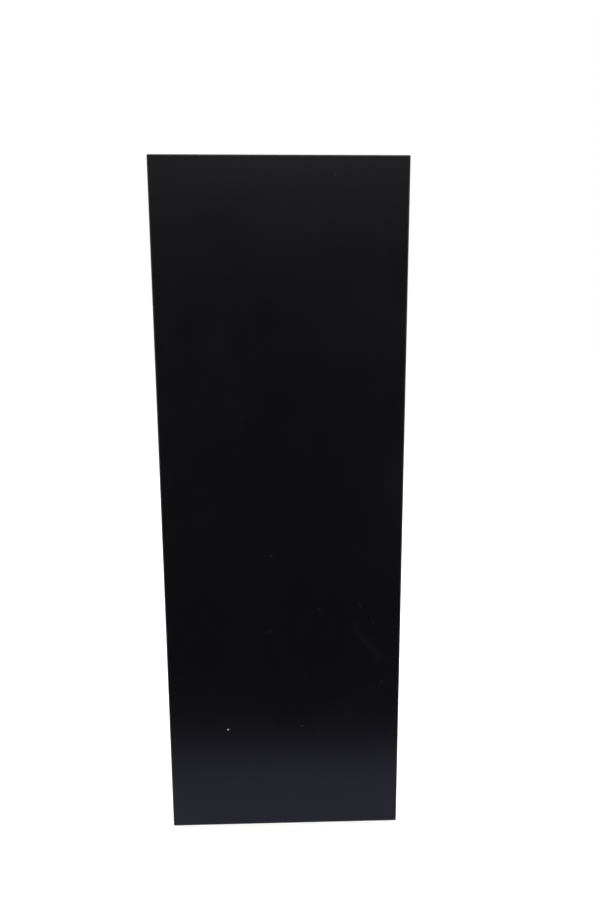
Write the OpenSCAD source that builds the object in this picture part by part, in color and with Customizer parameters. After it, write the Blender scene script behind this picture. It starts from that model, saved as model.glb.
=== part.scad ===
// Kick plate: a stiff black plastic sheet that sticks to the foot of a door with foam tape.
//
// Everything is laid out flat first: x across the sheet, y along it, z up from the door's face to the
// sheet's show face. stand_up() then turns the pack upright, so that its long side runs up +Z, the show
// face looks along -Y and the door's face is the plane y = 0, with the origin at its middle.

/* [Sheet] */
// Short side of the sheet
sheet_w = 304.8; // [203.2:25.4:406.4]
// Long side of the sheet
sheet_h = 863.6; // [609.6:25.4:1066.8]
// Thickness of the sheet
sheet_t = 3.2; // [2.0:0.1:6.4]
// How far the front bevel comes in over the show face
bevel_in = 1.2; // [0.4:0.1:3.0]
// How far the front bevel goes down the sheet's edge
bevel_down = 1.0; // [0.3:0.1:1.6]
// Radius of the four corners, seen from the front
corner_r = 1.5; // [0.5:0.1:6.0]

/* [Foam tape] */
// Width of every strip of tape
tape_w = 19; // [12:1:25]
// Thickness of the foam with both its glue faces
tape_t = 1.1; // [0.6:0.1:2.0]
// Bare margin between the tape and the sheet's edge
edge_gap = 6; // [2:1:12]
// Gap where the plain end of a strip meets the side of another
butt_gap = 2; // [1:0.5:5]

/* [Release liner] */
// Thickness of the film that covers the glue
liner_t = 0.1; // [0.05:0.01:0.2]
// Length of the pull tab past the end of the tape
tab_len = 12; // [8:1:20]
// Radius of the pull tab's corners
tab_r = 5; // [1:0.5:6]
// Gap kept between a pull tab and whatever it points at
tab_gap = 2; // [1:0.5:5]

/* [Hidden] */
sheet_colour = "#0d0c10";
tape_colour = "#55585a";
liner_colour = "#b0281f";
arc_fn = 64;                 // facets of a full circle
cut_margin = 1;              // how far a cutting shape runs past what it cuts

// Heights of the layers over the door's face
tape_z = liner_t;
sheet_z = tape_z + tape_t;

// Room that a pull tab needs past the end of its tape
tab_room = tab_len + tab_gap;

// The two long strips run up the sides, each with its tab at the top
side_x = sheet_w / 2 - edge_gap - tape_w / 2;
side_from = edge_gap - sheet_h / 2;
side_to = sheet_h / 2 - tab_room;

// The five short strips lie across between them, evenly spaced, each with its tab at the right
inner_x = side_x - tape_w / 2;
cross_from = butt_gap - inner_x;
cross_to = inner_x - tab_room;
cross_step = (sheet_h / 2 - edge_gap - tape_w / 2) / 2;

// Turns the flat layout upright, with its door side towards +Y.
module stand_up() {
    rotate([90, 0, 0]) children();
}

// Flat rectangle about the origin with its four corners rounded.
module rounded_sheet(w, h, r) {
    square([w - 2 * r, h], center = true);
    square([w, h - 2 * r], center = true);
    for (x = [-1, 1], y = [-1, 1]) {
        translate([x * (w / 2 - r), y * (h / 2 - r)]) circle(r = r, $fn = arc_fn);
    }
}

// Long bar whose two upper edges are cut to the bevel's slope; it runs along y and is w wide at the
// foot of the bevels. The slopes are carried past the sheet on both sides, so no two faces coincide.
module bevel_bar(w, length) {
    slope = bevel_down / bevel_in;
    foot_x = w / 2 + cut_margin;
    foot_z = sheet_t - bevel_down - cut_margin * slope;
    head_x = w / 2 - bevel_in - cut_margin / slope;
    head_z = sheet_t + cut_margin;
    profile = [
        [-foot_x, -cut_margin], [foot_x, -cut_margin], [foot_x, foot_z],
        [head_x, head_z], [-head_x, head_z], [-foot_x, foot_z]
    ];
    rotate([90, 0, 0]) linear_extrude(height = length + 2 * cut_margin, center = true) polygon(profile);
}

// The stiff sheet: square behind, with all four front edges bevelled.
module face_plate() {
    color(sheet_colour) stand_up() translate([0, 0, sheet_z]) intersection() {
        linear_extrude(height = sheet_t) rounded_sheet(sheet_w, sheet_h, corner_r);
        bevel_bar(sheet_w, sheet_h);
        rotate([0, 0, 90]) bevel_bar(sheet_h, sheet_w);
    }
}

// One strip of tape along x from one place to another, about the line y = 0.
module tape_strip(from, to) {
    color(tape_colour) translate([from, -tape_w / 2, tape_z]) cube([to - from, tape_w, tape_t]);
}

// The film over one strip: the strip's own outline, and a pull tab with rounded corners past its end.
module liner_strip(from, to) {
    tab_end = to + tab_len;
    color(liner_colour) linear_extrude(height = liner_t) {
        translate([from, -tape_w / 2]) square([tab_end - tab_r - from, tape_w]);
        translate([from, tab_r - tape_w / 2]) square([tab_end - from, tape_w - 2 * tab_r]);
        for (y = [-1, 1]) {
            translate([tab_end - tab_r, y * (tape_w / 2 - tab_r)]) circle(r = tab_r, $fn = arc_fn);
        }
    }
}

// Places a side strip: side is -1 at the left and 1 at the right.
module up_the_side(side) {
    stand_up() translate([side * side_x, 0, 0]) rotate([0, 0, 90]) children();
}

// Places a strip that lies across: row counts from -2 at the bottom to 2 at the top.
module across(row) {
    stand_up() translate([0, row * cross_step, 0]) children();
}

module side_tape(side) {
    up_the_side(side) tape_strip(side_from, side_to);
}

module side_liner(side) {
    up_the_side(side) liner_strip(side_from, side_to);
}

module cross_tape(row) {
    across(row) tape_strip(cross_from, cross_to);
}

module cross_liner(row) {
    across(row) liner_strip(cross_from, cross_to);
}

face_plate();
side_tape(-1);  // tape_left
side_tape(1);  // tape_right
cross_tape(-2);  // tape_bottom
cross_tape(-1);  // tape_lower
cross_tape(0);  // tape_middle
cross_tape(1);  // tape_upper
cross_tape(2);  // tape_top
side_liner(-1);  // liner_left
side_liner(1);  // liner_right
cross_liner(-2);  // liner_bottom
cross_liner(-1);  // liner_lower
cross_liner(0);  // liner_middle
cross_liner(1);  // liner_upper
cross_liner(2);  // liner_top
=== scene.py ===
"""Looks of a self-adhesive kick plate: a black satin ABS sheet, its foam tape and the tape's release film.

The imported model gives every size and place. The sheet is built in mesh code with eased arrises, and the
seven strips of tape and their seven films come from one Geometry Nodes tree. Lengths are in metres.
"""

import logging
import math
from collections.abc import Callable
from dataclasses import dataclass
from enum import Enum

import bmesh
import bpy
from mathutils import Euler, Matrix, Vector, noise

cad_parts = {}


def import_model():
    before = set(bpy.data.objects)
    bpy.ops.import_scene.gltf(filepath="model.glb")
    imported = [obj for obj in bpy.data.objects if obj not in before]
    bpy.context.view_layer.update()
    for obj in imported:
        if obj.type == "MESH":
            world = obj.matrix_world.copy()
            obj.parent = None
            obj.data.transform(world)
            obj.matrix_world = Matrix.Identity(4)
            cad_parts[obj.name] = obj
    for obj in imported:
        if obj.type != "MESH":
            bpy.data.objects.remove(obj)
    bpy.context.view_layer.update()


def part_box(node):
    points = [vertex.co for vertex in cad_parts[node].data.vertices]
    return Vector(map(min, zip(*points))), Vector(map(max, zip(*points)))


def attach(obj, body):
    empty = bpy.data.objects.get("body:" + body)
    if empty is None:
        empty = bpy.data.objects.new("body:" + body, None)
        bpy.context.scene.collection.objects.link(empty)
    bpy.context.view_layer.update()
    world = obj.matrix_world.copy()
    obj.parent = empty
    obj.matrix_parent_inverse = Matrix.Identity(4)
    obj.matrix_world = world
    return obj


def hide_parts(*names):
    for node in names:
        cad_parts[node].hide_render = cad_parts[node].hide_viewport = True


LOG = logging.getLogger("kick_plate")
MM = 0.001
BODY = "root"

# Two faces that meet at more than this angle keep a crisp edge between them.
SHARP_ANGLE = math.radians(35)

# Attributes that a strip keeps from its making: its own coordinates, and how free of the tape it is.
STRIP_PLACE = "strip_place"
STRIP_FREE = "strip_free"

# Kinds of node that come up again and again.
MATH = "ShaderNodeMath"
VECTOR_MATH = "ShaderNodeVectorMath"
SPLIT = "ShaderNodeSeparateXYZ"
JOIN = "ShaderNodeCombineXYZ"
RANGE = "ShaderNodeMapRange"
NOISE = "ShaderNodeTexNoise"
CELLS = "ShaderNodeTexVoronoi"
MAPPING = "ShaderNodeMapping"
MIX = "ShaderNodeMix"
BUMP = "ShaderNodeBump"

# Numbers of the colour sockets on a Mix node, whose names repeat for each kind of data.
FACTOR, COLOUR_A, COLOUR_B, COLOUR_OUT = 0, 6, 7, 2

Tree = bpy.types.NodeTree
Socket = bpy.types.NodeSocket
Sockets = bpy.types.bpy_prop_collection
Material = bpy.types.Material
Object = bpy.types.Object
Flat = tuple[float, float]
Span = tuple[float, float]
Box = tuple[Vector, Vector]


def linear(hex_colour: str) -> tuple[float, float, float, float]:
    """Turns an sRGB hex colour into linear RGBA.

    Args:
        hex_colour: the colour as "#rrggbb".

    Returns:
        Red, green, blue and an alpha of 1, all from 0 to 1.
    """
    shares = [int(hex_colour[i : i + 2], 16) / 255 for i in (1, 3, 5)]
    return (*(s / 12.92 if s <= 0.04045 else ((s + 0.055) / 1.055) ** 2.4 for s in shares), 1.0)


def per_metre(feature_mm: float) -> float:
    """Gives the texture scale that makes features about this many millimetres apart."""
    return 1 / (feature_mm * MM)


def add(tree: Tree, kind: str, inputs: dict | tuple = (), **settings: object) -> Sockets:
    """Adds one node to a tree, sets it up and links it.

    Args:
        tree: the shader or geometry tree.
        kind: the node's type.
        inputs: what the sockets get, in a dict by name or number or in a tuple from the first one on: a
            value, or another node's output to link.
        **settings: the node's own properties, set before its sockets are.

    Returns:
        The new node's outputs.
    """
    node = tree.nodes.new(kind)
    for name, value in settings.items():
        setattr(node, name, value)
    for key, value in inputs.items() if isinstance(inputs, dict) else enumerate(inputs):
        if isinstance(value, Socket):
            tree.links.new(value, node.inputs[key])
        else:
            node.inputs[key].default_value = value
    return node.outputs


def new_material(name: str) -> Material:
    """Makes a material whose tree is still empty.

    Args:
        name: its name.

    Returns:
        The material.
    """
    material = bpy.data.materials.new(name)
    material.use_nodes = True
    material.node_tree.nodes.clear()
    return material


def new_object(name: str, data: bpy.types.ID) -> Object:
    """Puts a new object into the scene, at the origin.

    Args:
        name: its name.
        data: its mesh, light or camera.

    Returns:
        The object.
    """
    obj = bpy.data.objects.new(name, data)
    bpy.context.scene.collection.objects.link(obj)
    return obj


def smooth(mesh: bpy.types.Mesh) -> None:
    """Shades a mesh's faces smooth, but for its sharp edges.

    Args:
        mesh: the mesh.
    """
    mesh.polygons.foreach_set("use_smooth", [True] * len(mesh.polygons))
    mesh.set_sharp_from_angle(angle=SHARP_ANGLE)
    mesh.update()


# ---- finishes ----


@dataclass(frozen=True)
class Finish:
    """What every finish of the plate shares: one named material round one principled shader.

    Where a finish has a span of roughness, its pattern takes it from the first value to the second.
    """

    name: str

    def material(self) -> Material:
        """Makes the finish's material.

        Returns:
            The material, with every pattern laid in metres on the object.
        """
        material = new_material(self.name)
        tree = material.node_tree
        place = add(tree, "ShaderNodeTexCoord")["Object"]
        shader = add(tree, "ShaderNodeBsdfPrincipled", self.surface(tree, place))["BSDF"]
        add(tree, "ShaderNodeOutputMaterial", {"Surface": shader})
        return material

    def surface(self, tree: Tree, place: Socket) -> dict[str, object]:
        """Lays out the finish's colour, gloss and relief.

        Args:
            tree: the material's tree.
            place: object coordinates.

        Returns:
            What the principled shader's inputs get: a value, or another node's output.
        """
        raise NotImplementedError


@dataclass(frozen=True)
class Fleck:
    """A fleck of dust stuck to the show face, placed from the middle of the sheet's foot.

    Its share is how much of it shows: 1 for a thick white fleck, and very little for a thin film of dust.
    """

    across: float
    up: float
    radius: float
    share: float


@dataclass(frozen=True)
class Scuff:
    """A soft curved rub on the show face, as a shoe's edge leaves, placed from the middle of its foot.

    It runs from start to end and sways once to each side of the straight line between them.
    """

    start: Flat
    end: Flat
    sway: float
    width: float
    patch_mm: float = 5
    # Shares of the run, from its middle, where the rub starts to fade and where it is gone.
    fades_from: float = 0.35
    fades_to: float = 0.6


@dataclass(frozen=True)
class Wear:
    """What a mark does to the show face: how much it dulls the gloss, and how far its dust covers."""

    dulling: float
    cover: float
    colour: str = "#4b4a4d"


@dataclass(frozen=True)
class CalenderedAbs(Finish):
    """Black ABS sheet as it comes off the polishing rolls.

    To the eye: near-black with the faintest violet, a satin gloss that blurs what it mirrors, slow clouds in
    that gloss, a tight grain, and a few flecks of dust and one rubbed arc that catch the light.
    """

    foot: Vector
    flecks: tuple[Fleck, ...]
    scuff: Scuff
    colour: str = "#07050e"
    roughness: Span = (0.305, 0.375)
    ior: float = 1.54
    cloud_mm: float = 95
    smudge_mm: float = 30
    handled: Wear = Wear(dulling=0.02, cover=0.004)
    rubbed: Wear = Wear(dulling=0.04, cover=0.018)
    dusty: Wear = Wear(dulling=0.4, cover=0.9, colour="#b9b9bc")
    # A fleck's outline wanders by this much, in lumps of this size, round a solid core of this share.
    fleck_wobble: float = 0.6 * MM
    fleck_lump_mm: float = 1.5
    fleck_core: float = 0.4
    # The rolls' grain is near 0.3 mm; it is drawn at 2.2 mm, which is as fine as shows.
    grain_mm: float = 2.2
    grain_depth: float = 0.04 * MM

    def surface(self, tree: Tree, place: Socket) -> dict[str, object]:
        """Lays out the satin, its clouds, its grain and its marks.

        Args:
            tree: the material's tree.
            place: object coordinates.

        Returns:
            What the principled shader's inputs get.
        """
        clouds = add(tree, NOISE, {
            "Vector": place, "Scale": per_metre(self.cloud_mm), "Detail": 3.0, "Distortion": 0.6,
        })["Fac"]
        rough = add(tree, RANGE, {
            "Value": clouds, "From Min": 0.25, "From Max": 0.75,
            "To Min": self.roughness[0], "To Max": self.roughness[1],
        })["Result"]
        smudges = add(tree, NOISE, {
            "Vector": place, "Scale": per_metre(self.smudge_mm), "Detail": 5.0, "Distortion": 1.4,
        })["Fac"]
        touched = add(tree, RANGE, {"Value": smudges, "From Min": 0.52, "From Max": 0.78})["Result"]
        scuffed = self._scuffed(tree, place)
        flecked = self._flecked(tree, place)

        colour = linear(self.colour)
        for mask, wear in ((touched, self.handled), (scuffed, self.rubbed), (flecked, self.dusty)):
            rough = add(tree, MATH, (mask, wear.dulling, rough), operation="MULTIPLY_ADD")[0]
            cover = add(tree, MATH, (mask, wear.cover), operation="MULTIPLY")[0]
            colour = add(tree, MIX, {
                FACTOR: cover, COLOUR_A: colour, COLOUR_B: linear(wear.colour),
            }, data_type="RGBA")[COLOUR_OUT]

        grain = add(tree, NOISE, {"Vector": place, "Scale": per_metre(self.grain_mm), "Detail": 3.0})["Fac"]
        relief = add(tree, BUMP, {"Height": grain, "Strength": 1.0, "Distance": self.grain_depth})[0]
        return {"Base Color": colour, "Roughness": rough, "Normal": relief, "IOR": self.ior}

    def _flecked(self, tree: Tree, place: Socket) -> Socket:
        """Marks the flecks of dust.

        Args:
            tree: the material's tree.
            place: object coordinates.

        Returns:
            A mask that is a fleck's share on it and 0 off it.
        """
        lumps = add(tree, NOISE, {
            "Vector": place, "Scale": per_metre(self.fleck_lump_mm), "Detail": 1.0,
        })["Color"]
        wobble = (self.fleck_wobble,) * 3
        ragged = add(tree, VECTOR_MATH, (lumps, wobble, place), operation="MULTIPLY_ADD")["Vector"]
        # The lumps' colour is a half on average, so the wobble shifts every fleck by half of itself.
        shift = Vector(wobble) / 2
        mask = 0.0
        for fleck in self.flecks:
            centre = self.foot + Vector((fleck.across, 0, fleck.up)) + shift
            away = add(tree, VECTOR_MATH, (ragged, centre), operation="DISTANCE")["Value"]
            here = add(tree, RANGE, {
                "Value": away, "From Min": fleck.radius, "From Max": fleck.radius * self.fleck_core,
                "To Max": fleck.share,
            })["Result"]
            mask = add(tree, MATH, (mask, here), operation="MAXIMUM")[0]
        return mask

    def _scuffed(self, tree: Tree, place: Socket) -> Socket:
        """Marks the rubbed arc.

        Args:
            tree: the material's tree.
            place: object coordinates.

        Returns:
            A mask that fades across the arc's width and towards its ends.
        """
        scuff = self.scuff
        start, end = (self.foot + Vector((across, 0, up)) for across, up in (scuff.start, scuff.end))
        run = end - start
        # In the scuff's own frame x runs along it and z across it.
        own = add(tree, MAPPING, {
            "Vector": place, "Location": start, "Rotation": (0.0, -math.atan2(run.z, run.x), 0.0),
        }, vector_type="TEXTURE")["Vector"]
        parts = add(tree, SPLIT, {"Vector": own})
        done = add(tree, MATH, (parts["X"], run.length), operation="DIVIDE")[0]
        turn = add(tree, MATH, (done, math.tau), operation="MULTIPLY")[0]
        swing = add(tree, MATH, (turn,), operation="SINE")[0]
        course = add(tree, MATH, (swing, scuff.sway), operation="MULTIPLY")[0]
        aside = add(tree, MATH, (parts["Z"], course), operation="SUBTRACT")[0]
        off = add(tree, MATH, (aside,), operation="ABSOLUTE")[0]
        across = add(tree, RANGE, {
            "Value": off, "From Min": scuff.width, "From Max": 0.0,
        }, interpolation_type="SMOOTHSTEP")["Result"]
        past_middle = add(tree, MATH, (done, 0.5), operation="SUBTRACT")[0]
        from_middle = add(tree, MATH, (past_middle,), operation="ABSOLUTE")[0]
        along = add(tree, RANGE, {
            "Value": from_middle, "From Min": scuff.fades_to, "From Max": scuff.fades_from,
        }, interpolation_type="SMOOTHSTEP")["Result"]
        worn = add(tree, NOISE, {"Vector": place, "Scale": per_metre(scuff.patch_mm), "Detail": 4.0})["Fac"]
        patchy = add(tree, RANGE, {
            "Value": worn, "From Min": 0.3, "From Max": 0.6, "To Min": 0.45,
        })["Result"]
        both = add(tree, MATH, (across, along), operation="MULTIPLY")[0]
        return add(tree, MATH, (both, patchy), operation="MULTIPLY")[0]


@dataclass(frozen=True)
class MachinedAbs(Finish):
    """The sheet's edges and bevels, cut by a router after the sheet was sawn.

    To the eye: a shade greyer and duller than the show face, with the cutter's ripple across the edge.
    """

    colour: str = "#151518"
    worn_colour: str = "#3c3c40"
    worn_share: float = 0.35
    roughness: Span = (0.36, 0.52)
    ior: float = 1.54
    spot_mm: float = 9
    # One ripple for each turn of the cutter. The spots' height is counted in the ripple's.
    ripple_mm: float = 1.6
    ripple_depth: float = 0.008 * MM
    spot_height: float = 1.5

    def surface(self, tree: Tree, place: Socket) -> dict[str, object]:
        """Lays out the cut plastic, its ripple and its rubbed spots.

        Args:
            tree: the material's tree.
            place: object coordinates.

        Returns:
            What the principled shader's inputs get.
        """
        spots = add(tree, NOISE, {"Vector": place, "Scale": per_metre(self.spot_mm), "Detail": 6.0})["Fac"]
        rubbed = add(tree, RANGE, {
            "Value": spots, "From Min": 0.56, "From Max": 0.72, "To Max": self.worn_share,
        })["Result"]
        colour = add(tree, MIX, {
            FACTOR: rubbed, COLOUR_A: linear(self.colour), COLOUR_B: linear(self.worn_colour),
        }, data_type="RGBA")[COLOUR_OUT]
        rough = add(tree, RANGE, {
            "Value": spots, "From Min": 0.3, "From Max": 0.7,
            "To Min": self.roughness[0], "To Max": self.roughness[1],
        })["Result"]

        # x + z runs along all four edges, since one of the two stands still on each of them.
        parts = add(tree, SPLIT, {"Vector": place})
        run = add(tree, MATH, (parts["X"], parts["Z"]), operation="ADD")[0]
        turn = add(tree, MATH, (run, math.tau * per_metre(self.ripple_mm)), operation="MULTIPLY")[0]
        ripple = add(tree, MATH, (turn,), operation="SINE")[0]
        height = add(tree, MATH, (spots, self.spot_height, ripple), operation="MULTIPLY_ADD")[0]
        relief = add(tree, BUMP, {"Height": height, "Strength": 0.6, "Distance": self.ripple_depth})[0]
        return {"Base Color": colour, "Roughness": rough, "Normal": relief, "IOR": self.ior}


@dataclass(frozen=True)
class EmbossedAbs(Finish):
    """The sheet's back, which no polishing roll touched.

    To the eye: charcoal and matt, with lengthwise die lines, a coarse grain for the glue to key to, the grey
    bloom of handling and a scatter of fine scratches from the stack.
    """

    colour: str = "#17171a"
    bloom_colour: str = "#3a3a3d"
    scratch_colour: str = "#5a5a5e"
    roughness: Span = (0.46, 0.62)
    ior: float = 1.54
    bloom_mm: float = 120
    bloom_share: float = 0.4
    # Die lines are a noise drawn out along the sheet to twenty times its width.
    die_line_mm: float = 3.0
    die_line_height: float = 0.6
    die_line_squash: float = 0.05
    grain_mm: float = 1.4
    grain_depth: float = 0.05 * MM
    # A real scratch is about 0.1 mm wide; its widest place is drawn at 0.7 mm, so that it shows.
    scratch_mm: float = 70
    scratch_width_mm: float = 1.1
    scratch_slants: tuple[float, ...] = (17.0, 78.0, -41.0)
    scratch_share: float = 0.012
    scratch_strength: float = 0.8

    def surface(self, tree: Tree, place: Socket) -> dict[str, object]:
        """Lays out the matt back, its bloom, its scratches and its relief.

        Args:
            tree: the material's tree.
            place: object coordinates.

        Returns:
            What the principled shader's inputs get.
        """
        bloom = add(tree, NOISE, {
            "Vector": place, "Scale": per_metre(self.bloom_mm), "Detail": 6.0, "Distortion": 0.8,
        })["Fac"]
        bloomed = add(tree, RANGE, {
            "Value": bloom, "From Min": 0.45, "From Max": 0.8, "To Max": self.bloom_share,
        })["Result"]
        scratched = self._scratched(tree, place)
        colour = linear(self.colour)
        for mask, tint in ((bloomed, self.bloom_colour), (scratched, self.scratch_colour)):
            colour = add(tree, MIX, {
                FACTOR: mask, COLOUR_A: colour, COLOUR_B: linear(tint),
            }, data_type="RGBA")[COLOUR_OUT]
        rough = add(tree, RANGE, {
            "Value": bloom, "From Min": 0.3, "From Max": 0.7,
            "To Min": self.roughness[0], "To Max": self.roughness[1],
        })["Result"]

        squash = (1.0, 1.0, self.die_line_squash)
        drawn_out = add(tree, VECTOR_MATH, (place, squash), operation="MULTIPLY")["Vector"]
        lines = add(tree, NOISE, {"Vector": drawn_out, "Scale": per_metre(self.die_line_mm)})["Fac"]
        grain = add(tree, CELLS, {
            "Vector": place, "Scale": per_metre(self.grain_mm),
        }, feature="SMOOTH_F1")["Distance"]
        height = add(tree, MATH, (lines, self.die_line_height, grain), operation="MULTIPLY_ADD")[0]
        relief = add(tree, BUMP, {"Height": height, "Strength": 0.7, "Distance": self.grain_depth})[0]
        return {"Base Color": colour, "Roughness": rough, "Normal": relief, "IOR": self.ior}

    def _scratched(self, tree: Tree, place: Socket) -> Socket:
        """Marks fine straight scratches: needle-shaped cells at a few slants, kept only here and there.

        Args:
            tree: the material's tree.
            place: object coordinates.

        Returns:
            A mask that is high on a scratch.
        """
        parts = add(tree, SPLIT, {"Vector": place})
        flat = add(tree, JOIN, {"X": parts["X"], "Y": parts["Z"]})["Vector"]
        mask = 0.0
        for slant in self.scratch_slants:
            drawn_out = add(tree, MAPPING, {
                "Vector": flat, "Rotation": (0.0, 0.0, math.radians(slant)),
                "Scale": (self.scratch_mm * MM, self.scratch_width_mm * MM, 1.0),
            }, vector_type="TEXTURE")["Vector"]
            cells = add(tree, CELLS, {"Vector": drawn_out, "Scale": 1.0}, voronoi_dimensions="2D")
            needle = add(tree, RANGE, {
                "Value": cells["Distance"], "From Min": 0.34, "From Max": 0.1,
            })["Result"]
            chance = add(tree, SPLIT, {"Vector": cells["Color"]})["X"]
            kept = add(tree, RANGE, {
                "Value": chance, "From Min": 1 - self.scratch_share, "To Max": self.scratch_strength,
            })["Result"]
            here = add(tree, MATH, (needle, kept), operation="MULTIPLY")[0]
            mask = add(tree, MATH, (mask, here), operation="MAXIMUM")[0]
        return mask


@dataclass(frozen=True)
class AcrylicFoam(Finish):
    """Closed-cell acrylic foam tape, cut through at its edges.

    To the eye: a mid grey, dull and rubbery, pitted where the knife opened the cells, with painted shade in
    the pits.
    """

    colour: str = "#5b5e60"
    # Painted shade: the colour that the hollow of each open cell darkens to.
    pit_shade_colour: str = "#2f3133"
    roughness: Span = (0.95, 0.82)
    # Cells are near 0.1 mm; they are drawn at 0.5 mm, which is as fine as shows.
    cell_mm: float = 0.5
    cell_depth: float = 0.12 * MM

    def surface(self, tree: Tree, place: Socket) -> dict[str, object]:
        """Lays out the foam's colour, its open cells and the painted shade in them.

        Args:
            tree: the material's tree.
            place: object coordinates.

        Returns:
            What the principled shader's inputs get.
        """
        cells = add(tree, CELLS, {"Vector": place, "Scale": per_metre(self.cell_mm)})["Distance"]
        wall = add(tree, RANGE, {"Value": cells, "From Min": 0.1, "From Max": 0.55})["Result"]
        # Painted shade darkens each cell towards its middle, where the bump sinks lowest.
        colour = add(tree, MIX, {
            FACTOR: wall, COLOUR_A: linear(self.pit_shade_colour), COLOUR_B: linear(self.colour),
        }, data_type="RGBA")[COLOUR_OUT]
        rough = add(tree, RANGE, {
            "Value": wall, "To Min": self.roughness[0], "To Max": self.roughness[1],
        })["Result"]
        relief = add(tree, BUMP, {"Height": wall, "Strength": 0.8, "Distance": self.cell_depth})[0]
        return {"Base Color": colour, "Roughness": rough, "Normal": relief}


@dataclass(frozen=True)
class ReleaseFilm(Finish):
    """Red polyethylene film, blown, slit and laid on the glue.

    To the eye: glossy and slightly waxy, a deep red over the foam that lightens on the free tab, with
    lengthwise streaks, shallow ripples, trapped air and dulled patches where fingers held the tab.
    """

    colour: str = "#9c1c17"
    streak_colour: str = "#861511"
    free_colour: str = "#ab2a20"
    roughness: Span = (0.26, 0.36)
    ior: float = 1.51
    # Streaks are a noise drawn out along the strip to some thirty times its width.
    streak_mm: float = 2.2
    streak_height: float = 0.25
    streak_squash: float = 0.03
    bubble_mm: float = 14.0
    bubble_height: float = 0.05 * MM
    print_mm: float = 14.0

    def surface(self, tree: Tree, place: Socket) -> dict[str, object]:
        """Lays out the film's colour, gloss, streaks and bubbles.

        Args:
            tree: the material's tree.
            place: object coordinates.

        Returns:
            What the principled shader's inputs get.
        """
        strip = add(tree, "ShaderNodeAttribute", attribute_name=STRIP_PLACE)["Vector"]
        free = add(tree, "ShaderNodeAttribute", attribute_name=STRIP_FREE)["Fac"]
        squash = (self.streak_squash, 1.0, 1.0)
        drawn_out = add(tree, VECTOR_MATH, (strip, squash), operation="MULTIPLY")["Vector"]
        streaks = add(tree, NOISE, {
            "Vector": drawn_out, "Scale": per_metre(self.streak_mm), "Detail": 3.0,
        })["Fac"]
        colour = linear(self.streak_colour)
        for mask, tint in ((streaks, self.colour), (free, self.free_colour)):
            colour = add(tree, MIX, {
                FACTOR: mask, COLOUR_A: colour, COLOUR_B: linear(tint),
            }, data_type="RGBA")[COLOUR_OUT]
        held = add(tree, NOISE, {
            "Vector": place, "Scale": per_metre(self.print_mm), "Distortion": 1.0,
        })["Fac"]
        rough = add(tree, RANGE, {
            "Value": held, "From Min": 0.45, "From Max": 0.75,
            "To Min": self.roughness[0], "To Max": self.roughness[1],
        })["Result"]

        air = add(tree, CELLS, {
            "Vector": place, "Scale": per_metre(self.bubble_mm),
        }, feature="SMOOTH_F1")["Distance"]
        bubbles = add(tree, RANGE, {
            "Value": air, "From Min": 0.28, "From Max": 0.0,
        }, interpolation_type="SMOOTHSTEP")["Result"]
        height = add(tree, MATH, (streaks, self.streak_height, bubbles), operation="MULTIPLY_ADD")[0]
        relief = add(tree, BUMP, {"Height": height, "Strength": 0.8, "Distance": self.bubble_height})[0]
        return {"Base Color": colour, "Roughness": rough, "Normal": relief, "IOR": self.ior}


@dataclass(frozen=True)
class PaintedFloor(Finish):
    """Pale matt studio floor paint. To the eye: an even off-white with the faintest roller mottle."""

    colour: str = "#f4f4f4"
    mottle_colour: str = "#eeeeee"
    mottle_mm: float = 40
    roughness: float = 0.8
    # A little glow keeps the shadows pale.
    glow: float = 0.35

    def surface(self, tree: Tree, place: Socket) -> dict[str, object]:
        """Lays out the paint.

        Args:
            tree: the material's tree.
            place: object coordinates.

        Returns:
            What the principled shader's inputs get.
        """
        mottle = add(tree, NOISE, {
            "Vector": place, "Scale": per_metre(self.mottle_mm), "Detail": 4.0,
        })["Fac"]
        colour = add(tree, MIX, {
            FACTOR: mottle, COLOUR_A: linear(self.colour), COLOUR_B: linear(self.mottle_colour),
        }, data_type="RGBA")[COLOUR_OUT]
        return {
            "Base Color": colour, "Roughness": self.roughness,
            "Emission Color": linear(self.colour), "Emission Strength": self.glow,
        }


# ---- sheet ----


class SheetZone(Enum):
    """The parts of the sheet that are finished differently, in the order of its material slots."""

    SHOW_FACE = 0
    EDGE = 1
    BACK = 2


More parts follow.
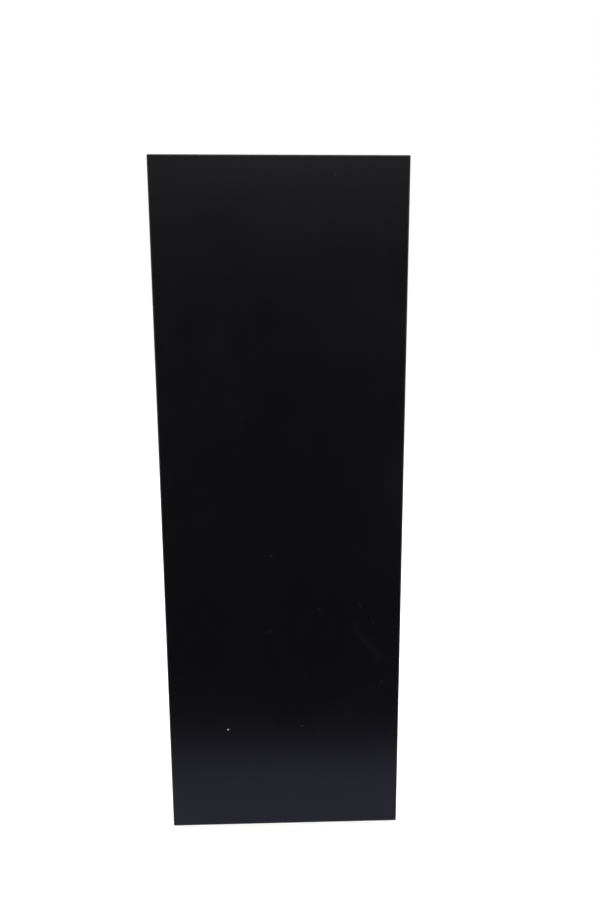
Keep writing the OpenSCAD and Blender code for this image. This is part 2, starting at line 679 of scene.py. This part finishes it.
@dataclass
class Sheet:
    """The stiff black sheet: show face, eased bevels, square edges and back, in one closed mesh.

    It is rings of points, from the show face over the edge to the back, with a grid inside the first ring
    and the last.
    """

    low: Vector
    high: Vector
    corner: float = 1.5 * MM
    bevel_in: float = 1.2 * MM
    bevel_down: float = 1.0 * MM
    # How far each arris is rounded to its two sides: the front one is sanded soft, the others only broken.
    front_easing: float = 0.7 * MM
    easing: float = 0.22 * MM
    easing_steps: int = 5
    # A ring this many easings from the arris keeps the rounding's shading off the flats.
    easing_guard: float = 1.4
    corner_steps: int = 6
    margin: float = 3.0 * MM
    cell: float = 5.0 * MM
    # Rolled sheet is never dead flat: its surface rises and falls this much over a hand's breadth.
    swell: float = 0.05 * MM
    swell_width: float = 95 * MM
    # Points closer than this become one: a ring further in than the corner's radius has several there.
    weld: float = 0.002 * MM

    @property
    def width(self) -> float:
        """The short side."""
        return self.high.x - self.low.x

    @property
    def height(self) -> float:
        """The long side."""
        return self.high.z - self.low.z

    @property
    def thickness(self) -> float:
        """How thick the sheet is."""
        return self.high.y - self.low.y

    @property
    def foot(self) -> Vector:
        """The middle of the show face's lower edge."""
        return Vector(((self.low.x + self.high.x) / 2, self.low.y, self.low.z))

    def stations(self, length: float) -> list[float]:
        """Spaces the grid's lines evenly over a side, leaving the margin free at both ends.

        Args:
            length: the side's length.

        Returns:
            Places along the side, measured from its middle.
        """
        span = length - 2 * self.margin
        count = round(span / self.cell)
        return [span * (i / count - 0.5) for i in range(count + 1)]

    def outline(self, inset: float) -> list[Flat]:
        """Walks round the sheet once, at some distance inside its edge.

        Args:
            inset: how far inside the sheet's edge the walk stays.

        Returns:
            Points across and up, always the same number, anticlockwise seen from the front.
        """
        radius = max(self.corner - inset, 0.0)
        reach = max(self.corner, inset)
        sides = ((self.width, self.height), (self.height, self.width)) * 2
        points = []
        for side, (along, across) in enumerate(sides):
            walk = [(s, inset - across / 2) for s in self.stations(along)]
            for k in range(self.corner_steps + 1):
                swing = k / self.corner_steps * math.pi / 2
                x = along / 2 - reach + radius * math.sin(swing)
                y = reach - across / 2 - radius * math.cos(swing)
                walk.append((x, y))
            turn = side * math.pi / 2
            cos, sin = math.cos(turn), math.sin(turn)
            points += [(x * cos - y * sin, x * sin + y * cos) for x, y in walk]
        return points

    def profile(self) -> list[Vector]:
        """Gives the section through the sheet's edge, from the show face round to the back.

        Returns:
            Points, each its distance inside the edge and its depth behind the show face.
        """
        arrises = [
            Vector((self.bevel_in, 0.0)),
            Vector((0.0, self.bevel_down)),
            Vector((0.0, self.thickness)),
        ]
        ends = [Vector((self.margin, 0.0)), *arrises, Vector((self.margin, self.thickness))]
        easings = (self.front_easing, self.easing, self.easing)
        section = [ends[0]]
        for before, at, after, easing in zip(ends, arrises, ends[2:], easings):
            back, ahead = ((end - at).normalized() * easing for end in (before, after))
            section.append(at + back * self.easing_guard)
            for k in range(self.easing_steps + 1):
                t = k / self.easing_steps
                section.append((at + back) * (1 - t) ** 2 + at * 2 * t * (1 - t) + (at + ahead) * t**2)
            section.append(at + ahead * self.easing_guard)
        section.append(ends[-1])
        return section

    def swollen(self, x: float, z: float) -> float:
        """Gives how far the show face sinks below true flat at a place, fading to none at its edges.

        Args:
            x: place across the sheet, from its middle.
            z: place up the sheet, from its middle.

        Returns:
            The depth.
        """
        edge = min(self.width / 2 - abs(x), self.height / 2 - abs(z))
        fade = min(max((edge - self.margin) / self.swell_width, 0.0), 1.0)
        there = Vector((x / self.swell_width, 0.0, z / self.swell_width))
        return self.swell * fade * (0.5 + 0.5 * noise.noise(there))

    def point(self, x: float, depth: float, z: float) -> Vector:
        """Gives the point this far across and up from the sheet's middle, and behind its show face."""
        middle = (self.low + self.high) / 2
        return Vector((middle.x + x, self.low.y + depth, middle.z + z))

    def build(self) -> Object:
        """Builds the sheet's mesh.

        Returns:
            The sheet, closed, with each face's material index set to its zone, at the origin.
        """
        bm = bmesh.new()
        section = self.profile()
        rings = [
            [bm.verts.new(self.point(x, depth, z)) for x, z in self.outline(inset)]
            for inset, depth in section
        ]
        # The section's first two spans lie flat in the show face and its last two in the back.
        zones = [SheetZone.EDGE] * (len(section) - 1)
        zones[:2] = [SheetZone.SHOW_FACE] * 2
        zones[-2:] = [SheetZone.BACK] * 2
        for zone, outer, inner in zip(zones, rings, rings[1:]):
            for k, corner in enumerate(outer):
                after = (k + 1) % len(outer)
                face = bm.faces.new((corner, outer[after], inner[after], inner[k]))
                face.material_index = zone.value
        for depth, zone in ((0.0, SheetZone.SHOW_FACE), (self.thickness, SheetZone.BACK)):
            self._fill(bm, depth, zone)
        bmesh.ops.remove_doubles(bm, verts=bm.verts, dist=self.weld)
        bmesh.ops.recalc_face_normals(bm, faces=bm.faces)
        mesh = bpy.data.meshes.new("black_sheet")
        bm.to_mesh(mesh)
        bm.free()
        return new_object("black_sheet", mesh)

    def _fill(self, bm: bmesh.types.BMesh, depth: float, zone: SheetZone) -> None:
        """Lays the grid inside the last ring of the show face or of the back.

        Args:
            bm: the mesh being built.
            depth: how far behind the show face the grid lies.
            zone: which face it is.
        """
        swells = zone is SheetZone.SHOW_FACE
        grid = []
        for x in self.stations(self.width):
            column = []
            for z in self.stations(self.height):
                sunk = self.swollen(x, z) if swells else 0.0
                column.append(bm.verts.new(self.point(x, depth + sunk, z)))
            grid.append(column)
        for left, right in zip(grid, grid[1:]):
            for k in range(len(left) - 1):
                face = bm.faces.new((left[k], right[k], right[k + 1], left[k + 1]))
                face.material_index = zone.value

    def dress(self, obj: Object, finishes: dict[SheetZone, Finish]) -> None:
        """Gives each zone its finish and the whole its shading.

        Args:
            obj: the sheet's object.
            finishes: the finish of each zone.
        """
        for zone in SheetZone:
            obj.data.materials.append(finishes[zone].material())
        smooth(obj.data)


# ---- strips ----


class Layer(Enum):
    """The two layers of a strip, by the name that their CAD nodes start with."""

    FOAM = "tape"
    FILM = "liner"


class StripPlace(Enum):
    """Where the seven strips lie on the sheet's back."""

    LEFT = "left"
    RIGHT = "right"
    BOTTOM = "bottom"
    LOWER = "lower"
    MIDDLE = "middle"
    UPPER = "upper"
    TOP = "top"


@dataclass(frozen=True)
class StripTree:
    """The Geometry Nodes tree that makes one flat strip: its rounded end, ragged cut, ripples and tab.

    The strip is a subdivided block that the tree maps to its outline. In the tree a strip runs along x from
    0, lies across y about 0 and stands from z = 0 up towards the door.
    """

    # The block's straight part, as a share of its length. The rest becomes the end's round corners.
    straight_share: float = 0.9
    # The knife's wandering and the film's ripples have features of these sizes.
    wander_mm: float = 35
    ripple_mm: float = 24
    # The ripples are lowered by this share of their height, so that hardly any rises past the true surface.
    ripple_sink: float = 0.75

    def build(self) -> Tree:
        """Builds the tree, with a named input for each of the strip's sizes.

        Returns:
            The tree, whose result is one real mesh with its material set.
        """
        inputs = {
            "Float": (
                "Length", "Width", "Thickness", "Tab", "End Radius", "Ragged", "Ripple", "Droop", "Seed",
            ),
            "Int": ("Steps Along", "Steps Across"),
            "Vector": ("Place", "Turn"),
            "Material": ("Finish",),
        }
        tree = bpy.data.node_groups.new("flat_strip", "GeometryNodeTree")
        tree.interface.new_socket("Geometry", in_out="OUTPUT", socket_type="NodeSocketGeometry")
        for kind, names in inputs.items():
            for name in names:
                tree.interface.new_socket(name, in_out="INPUT", socket_type=f"NodeSocket{kind}")
        given = add(tree, "NodeGroupInput")

        shape = add(tree, "GeometryNodeMeshCube", {
            "Size": (1.0, 1.0, 1.0), "Vertices X": given["Steps Along"],
            "Vertices Y": given["Steps Across"], "Vertices Z": 2,
        })["Mesh"]
        unit = add(tree, SPLIT, {"Vector": add(tree, "GeometryNodeInputPosition")[0]})
        along, half = self._outline(tree, given, unit)
        side = add(tree, MATH, (unit["Y"], 2.0), operation="MULTIPLY")[0]
        across = add(tree, MATH, (side, half), operation="MULTIPLY")[0]
        free, height = self._height(tree, given, unit, along, across)
        laid = add(tree, JOIN, {"X": along, "Y": across, "Z": height})["Vector"]

        # Both attributes are caught before the points move, as they are worked out from the unit block.
        for name, value, kind in ((STRIP_PLACE, laid, "FLOAT_VECTOR"), (STRIP_FREE, free, "FLOAT")):
            shape = add(tree, "GeometryNodeStoreNamedAttribute", {
                "Geometry": shape, "Name": name, "Value": value,
            }, data_type=kind, domain="POINT")["Geometry"]
        steps = (
            ("GeometryNodeSetPosition", {"Position": laid}),
            ("GeometryNodeTransform", {"Translation": given["Place"], "Rotation": given["Turn"]}),
            ("GeometryNodeRealizeInstances", {}),
            ("GeometryNodeSetMaterial", {"Material": given["Finish"]}),
        )
        for kind, others in steps:
            shape = add(tree, kind, {"Geometry": shape, **others})["Geometry"]
        add(tree, "NodeGroupOutput", {"Geometry": shape})
        return tree

    def _outline(self, tree: Tree, given: Sockets, unit: Sockets) -> tuple[Socket, Socket]:
        """Maps the block's length to the strip: straight for most of it, then round the end's corners.

        Args:
            tree: the tree.
            given: the tree's inputs.
            unit: the block's own x, y and z, each from -0.5 to 0.5.

        Returns:
            How far along the strip a point lies, and the strip's half width there.
        """
        radius = given["End Radius"]
        whole = add(tree, MATH, (given["Length"], given["Tab"]), operation="ADD")[0]
        run = add(tree, MATH, (whole, radius), operation="SUBTRACT")[0]
        split = self.straight_share - 0.5
        straight = add(tree, RANGE, {
            "Value": unit["X"], "From Min": -0.5, "From Max": split, "To Max": run,
        })["Result"]
        swing = add(tree, RANGE, {
            "Value": unit["X"], "From Min": split, "From Max": 0.5, "To Max": math.pi / 2,
        })["Result"]
        ahead = add(tree, MATH, (swing,), operation="SINE")[0]
        aside = add(tree, MATH, (swing,), operation="COSINE")[0]
        along = add(tree, MATH, (radius, ahead, straight), operation="MULTIPLY_ADD")[0]
        half_width = add(tree, MATH, (given["Width"], 0.5), operation="MULTIPLY")[0]
        inner = add(tree, MATH, (half_width, radius), operation="SUBTRACT")[0]
        half = add(tree, MATH, (radius, aside, inner), operation="MULTIPLY_ADD")[0]

        # The knife wanders a little, differently on the two sides.
        side = add(tree, MATH, (unit["Y"],), operation="SIGN")[0]
        wander = add(tree, NOISE, {
            "Vector": add(tree, JOIN, {"X": along, "Y": side})["Vector"], "W": given["Seed"],
            "Scale": per_metre(self.wander_mm), "Detail": 3.0,
        }, noise_dimensions="4D")["Fac"]
        cut = add(tree, MATH, (wander, -0.5), operation="ADD")[0]
        half = add(tree, MATH, (cut, given["Ragged"], half), operation="MULTIPLY_ADD")[0]
        return along, half

    def _height(
        self, tree: Tree, given: Sockets, unit: Sockets, along: Socket, across: Socket
    ) -> tuple[Socket, Socket]:
        """Works out how high a point stands: its share of the thickness, the ripples, and the tab's droop.

        Args:
            tree: the tree.
            given: the tree's inputs.
            unit: the block's own x, y and z, each from -0.5 to 0.5.
            along: how far along the strip the point lies.
            across: how far off its middle line.

        Returns:
            How free the point is, from 0 over the tape to 1 on the tab, and its height.
        """
        level = add(tree, MATH, (unit["Z"], 0.5), operation="ADD")[0]
        body = add(tree, MATH, (level, given["Thickness"]), operation="MULTIPLY")[0]
        swell = add(tree, NOISE, {
            "Vector": add(tree, JOIN, {"X": along, "Y": across})["Vector"], "W": given["Seed"],
            "Scale": per_metre(self.ripple_mm), "Detail": 1.5,
        }, noise_dimensions="4D")["Fac"]
        dip = add(tree, MATH, (swell, self.ripple_sink), operation="SUBTRACT")[0]
        rippled = add(tree, MATH, (dip, given["Ripple"], body), operation="MULTIPLY_ADD")[0]
        whole = add(tree, MATH, (given["Length"], given["Tab"]), operation="ADD")[0]
        free = add(tree, RANGE, {
            "Value": along, "From Min": given["Length"], "From Max": whole,
        }, interpolation_type="SMOOTHSTEP")["Result"]
        droop = add(tree, MATH, (free, given["Droop"]), operation="MULTIPLY")[0]
        height = add(tree, MATH, (rippled, droop), operation="SUBTRACT")[0]
        return free, height


@dataclass(frozen=True)
class Cut:
    """How a layer's strips are cut and how they lie: what differs between foam and film."""

    end_radius: float
    ragged: float
    ripple: float
    droop: float


@dataclass
class Strip:
    """One layer of one strip of tape: the foam itself, or the release film over it."""

    place: StripPlace
    layer: Layer
    tape_box: Box
    box: Box
    seed: int
    step: float = 2.5 * MM
    foam_cut: Cut = Cut(end_radius=0.25 * MM, ragged=0.25 * MM, ripple=0.03 * MM, droop=0.0)
    film_cut: Cut = Cut(end_radius=5.0 * MM, ragged=0.2 * MM, ripple=0.16 * MM, droop=0.8 * MM)

    @property
    def name(self) -> str:
        """The piece's name."""
        kind = "foam" if self.layer is Layer.FOAM else "film"
        return f"{kind}_{self.place.value}"

    @property
    def node(self) -> str:
        """The CAD node that the piece stands for."""
        return f"{self.layer.value}_{self.place.value}"

    @property
    def upright(self) -> bool:
        """Whether the strip runs up the sheet and not across it."""
        low, high = self.box
        return high.z - low.z > high.x - low.x

    def inputs(self, finish: Material) -> dict[str, object]:
        """Works out the tree's inputs from the strip's box.

        Args:
            finish: the material that the strip takes.

        Returns:
            A value for each named input of the tree.
        """
        low, high = self.box
        axis, cross = ("z", "x") if self.upright else ("x", "z")
        span = getattr(high, axis) - getattr(low, axis)
        width = getattr(high, cross) - getattr(low, cross)
        tab = getattr(high, axis) - getattr(self.tape_box[1], axis) if self.layer is Layer.FILM else 0.0
        start = Vector(((low.x + high.x) / 2, low.y, (low.z + high.z) / 2))
        setattr(start, axis, getattr(low, axis))
        # Along, across and outwards in the tree become these directions on the sheet.
        if self.upright:
            turn = Matrix(((0, 1, 0), (0, 0, 1), (1, 0, 0))).to_euler()
        else:
            turn = Euler((-math.pi / 2, 0, 0))
        cut = self.foam_cut if self.layer is Layer.FOAM else self.film_cut
        return {
            "Length": span - tab, "Width": width, "Thickness": high.y - low.y, "Tab": tab,
            "End Radius": cut.end_radius, "Ragged": cut.ragged, "Ripple": cut.ripple, "Droop": cut.droop,
            "Seed": float(self.seed), "Steps Along": round(span / self.step) + 1,
            "Steps Across": round(width / self.step) + 1, "Place": tuple(start), "Turn": tuple(turn),
            "Finish": finish,
        }

    def build(self, tree: Tree, finish: Material) -> Object:
        """Runs the tree for this strip and keeps its result as a plain mesh.

        Args:
            tree: the flat strip's tree.
            finish: the material that the strip takes.

        Returns:
            The strip's object, at the origin.
        """
        maker_name = self.name + "_maker"
        maker = new_object(maker_name, bpy.data.meshes.new(maker_name))
        modifier = maker.modifiers.new("flat_strip", "NODES")
        modifier.node_group = tree
        sockets = {s.name: s.identifier for s in tree.interface.items_tree if s.in_out == "INPUT"}
        for name, value in self.inputs(finish).items():
            modifier[sockets[name]] = value
        graph = bpy.context.evaluated_depsgraph_get()
        mesh = bpy.data.meshes.new_from_object(maker.evaluated_get(graph))
        bpy.data.objects.remove(maker)
        smooth(mesh)
        return new_object(self.name, mesh)


@dataclass
class TapeKit:
    """All seven strips: foam tape against the sheet, release film over it."""

    box_of: Callable[[str], Box]

    def build(self) -> list[tuple[Strip, Object]]:
        """Builds every strip in both layers.

        Returns:
            Each strip with its object.
        """
        tree = StripTree().build()
        finishes = {
            Layer.FOAM: AcrylicFoam("grey_acrylic_foam").material(),
            Layer.FILM: ReleaseFilm("red_polyethylene_release_film").material(),
        }
        made = []
        for layer in Layer:
            for seed, place in enumerate(StripPlace):
                tape_box = self.box_of(f"{Layer.FOAM.value}_{place.value}")
                strip = Strip(place, layer, tape_box, self.box_of(f"{layer.value}_{place.value}"), seed)
                made.append((strip, strip.build(tree, finishes[layer])))
        return made


# ---- studio ----


@dataclass(frozen=True)
class SoftBox:
    """A soft light: a glowing rectangle that the camera doesn't see, placed from the sheet's foot."""

    name: str
    place: tuple[float, float, float]
    width: float
    height: float
    power: float
    colour: str = "#ffffff"

    def build(self, foot: Vector, aim: Vector) -> None:
        """Adds the light to the scene.

        Args:
            foot: the sheet's foot.
            aim: the point that the light faces.
        """
        data = bpy.data.lights.new(self.name, "AREA")
        data.shape = "RECTANGLE"
        data.size, data.size_y = self.width, self.height
        data.energy = self.power
        data.color = linear(self.colour)[:3]
        light = new_object(self.name, data)
        light.location = foot + Vector(self.place)
        light.rotation_euler = (aim - light.location).to_track_quat("-Z", "Y").to_euler()
        light.visible_camera = False


@dataclass(frozen=True)
class LitPatch:
    """A patch of lit floor that only gloss sees, by its corners across and into the studio from the foot."""

    name: str
    corners: tuple[Flat, ...]
    glow: float
    colour: str = "#ffffff"

    def material(self) -> Material:
        """Makes the patch's even glow.

        Returns:
            The material.
        """
        material = new_material(self.name)
        tree = material.node_tree
        glow = add(tree, "ShaderNodeEmission", {"Color": linear(self.colour), "Strength": self.glow})[0]
        add(tree, "ShaderNodeOutputMaterial", {"Surface": glow})
        return material


@dataclass(frozen=True)
class Camera:
    """The camera, three quarters of a metre off and looking slightly down, placed from the sheet's foot."""

    place: tuple[float, float, float] = (0.0017, -0.7652, 0.6415)
    azimuth_degrees: float = 1.545
    elevation_degrees: float = -9.141
    roll_degrees: float = -0.256
    lens_mm: float = 25.0
    sensor_mm: float = 36.0

    def build(self, foot: Vector) -> None:
        """Stands the camera in the scene.

        Args:
            foot: the sheet's foot.
        """
        data = bpy.data.cameras.new("camera")
        data.sensor_width = self.sensor_mm
        data.lens = self.lens_mm
        azimuth, elevation = math.radians(self.azimuth_degrees), math.radians(self.elevation_degrees)
        level = math.cos(elevation)
        ahead = Vector((math.sin(azimuth) * level, math.cos(azimuth) * level, math.sin(elevation)))
        roll = Euler((0, 0, math.radians(self.roll_degrees))).to_quaternion()
        camera = new_object("camera", data)
        camera.rotation_mode = "QUATERNION"
        camera.rotation_quaternion = ahead.to_track_quat("-Z", "Y") @ roll
        camera.location = foot + Vector(self.place)
        bpy.context.scene.camera = camera


@dataclass
class Studio:
    """A pale floor, soft light and the camera, all placed from the sheet's foot."""

    foot: Vector
    floor_reach: float = 30.0
    # The lit floor in front of the sheet is narrow, and opens out only well to its two sides, so that the
    # sheet's satin mirrors a dark studio between them.
    near_reach: float = 0.152
    near_half: float = 0.6
    wing_inner: float = 0.45
    wing_far_inner: float = 2.0
    wing_outer: float = 4.0
    wing_reach: float = 3.0
    back_reach: float = 3.5
    patch_lift: float = 0.5 * MM
    aim_height: float = 0.45

    def build(self) -> None:
        """Builds the whole studio."""
        self._floor()
        self._lit_floor()
        self._world()
        self._lights()
        Camera().build(self.foot)
        bpy.context.scene.view_settings.view_transform = "Standard"

    def _patch(self, name: str, corners: tuple[Flat, ...], lift: float) -> Object:
        """Lays a flat patch on the floor.

        Args:
            name: its name.
            corners: its corners across and into the studio, from the sheet's foot.
            lift: how far above the floor it lies.

        Returns:
            The patch.
        """
        mesh = bpy.data.meshes.new(name)
        points = [tuple(self.foot + Vector((x, y, lift))) for x, y in corners]
        mesh.from_pydata(points, [], [tuple(range(len(points)))])
        obj = new_object(name, mesh)
        return obj

    def _floor(self) -> None:
        """Lays the floor. Gloss mirrors the lit patches in place of it."""
        reach = self.floor_reach
        corners = ((-reach, -reach), (reach, -reach), (reach, reach), (-reach, reach))
        floor = self._patch("floor", corners, 0.0)
        floor.data.materials.append(PaintedFloor("pale_floor_paint").material())
        floor.visible_glossy = False

    def _lit_floor(self) -> None:
        """Lays the patches of lit floor that the object's gloss mirrors."""
        half, near, inner, far = self.near_half, self.near_reach, self.wing_inner, self.wing_far_inner
        outer, reach, back = self.wing_outer, self.wing_reach, self.back_reach
        strip = ((-half, -near), (half, -near), (half, 0), (-half, 0))
        patches = (
            LitPatch("lit_floor_near", strip, 0.48, "#dbdbff"),
            LitPatch("lit_floor_left", ((-outer, 0), (-outer, -reach), (-far, -reach), (-inner, 0)), 0.8),
            LitPatch("lit_floor_right", ((inner, 0), (far, -reach), (outer, -reach), (outer, 0)), 0.8),
            LitPatch("lit_floor_back", ((-outer, 0), (outer, 0), (outer, back), (-outer, back)), 0.7),
        )
        for patch in patches:
            obj = self._patch(patch.name, patch.corners, self.patch_lift)
            obj.data.materials.append(patch.material())
            obj.visible_camera = False
            obj.visible_diffuse = False
            obj.visible_shadow = False

    def _world(self) -> None:
        """Fills the studio with even white light, which gloss doesn't mirror."""
        world = bpy.data.worlds.new("studio")
        world.use_nodes = True
        background = world.node_tree.nodes["Background"]
        background.inputs["Color"].default_value = linear("#ffffff")
        background.inputs["Strength"].default_value = 1.0
        bpy.context.scene.world = world
        world.cycles_visibility.glossy = False

    def _lights(self) -> None:
        """Hangs the soft boxes."""
        aim = self.foot + Vector((0, 0, self.aim_height))
        boxes = (
            SoftBox("front_bank", (0, -1.7, 1.55), width=1.6, height=0.3, power=1.15),
            SoftBox("front_top", (0.15, -1.3, 1.95), width=1.6, height=0.9, power=1.6),
            SoftBox("overhead", (0, 0.1, 2.4), width=1.8, height=1.0, power=20, colour="#fcffee"),
            SoftBox("left_front", (-1.35, -1.1, 0.92), width=0.35, height=1.75, power=2.0),
            SoftBox("right_front", (1.35, -1.1, 0.92), width=0.35, height=1.75, power=3.8),
            SoftBox("left_side", (-2.2, -0.3, 0.9), width=0.5, height=1.4, power=3),
            SoftBox("right_side", (2.2, -0.3, 0.9), width=0.5, height=1.4, power=3),
            SoftBox("back_left", (-1.2, 2.2, 1.5), width=1.6, height=1.6, power=12),
            SoftBox("back_right", (1.8, 1.6, 0.9), width=0.8, height=1.8, power=7),
        )
        for box in boxes:
            box.build(self.foot, aim)


# ---- main ----


def sheet_finishes(foot: Vector) -> dict[SheetZone, Finish]:
    """Chooses the finish of each of the sheet's zones.

    Args:
        foot: the middle of the show face's lower edge, which the marks are placed from.

    Returns:
        The finish of each zone.
    """
    flecks = (
        Fleck(-75 * MM, 142 * MM, 1.7 * MM, 0.6),
        Fleck(46 * MM, 309 * MM, 1.6 * MM, 0.032),
        Fleck(-15 * MM, 382 * MM, 1.5 * MM, 0.024),
        Fleck(23 * MM, 145 * MM, 1.6 * MM, 0.055),
        Fleck(99 * MM, 314 * MM, 1.9 * MM, 0.02),
        Fleck(128 * MM, 207 * MM, 1.6 * MM, 0.024),
        Fleck(-18 * MM, 279 * MM, 1.9 * MM, 0.02),
        Fleck(116 * MM, 290 * MM, 2.8 * MM, 0.009),
        Fleck(120 * MM, 311 * MM, 1.6 * MM, 0.005),
        Fleck(65 * MM, 842 * MM, 1.5 * MM, 0.028),
    )
    scuff = Scuff(start=(93 * MM, 290 * MM), end=(126 * MM, 232 * MM), sway=-3.8 * MM, width=7.0 * MM)
    return {
        SheetZone.SHOW_FACE: CalenderedAbs("black_abs_calendered_satin", foot, flecks, scuff),
        SheetZone.EDGE: MachinedAbs("black_abs_machined_edge"),
        SheetZone.BACK: EmbossedAbs("black_abs_embossed_back"),
    }


def main() -> None:
    """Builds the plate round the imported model, in order, and reports each piece."""
    logging.basicConfig(level=logging.INFO, format="%(name)s: %(message)s")
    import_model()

    sheet = Sheet(*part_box("face_plate"))
    sheet_piece = sheet.build()
    sheet.dress(sheet_piece, sheet_finishes(sheet.foot))
    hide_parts("face_plate")
    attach(sheet_piece, BODY)
    LOG.info("%s: %d faces", sheet_piece.name, len(sheet_piece.data.polygons))

    for strip, piece in TapeKit(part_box).build():
        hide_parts(strip.node)
        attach(piece, BODY)
        LOG.info("%s: %d faces", piece.name, len(piece.data.polygons))

    Studio(sheet.foot).build()
    LOG.info("studio: floor, soft light and camera")


if __name__ == "__main__":
    main()
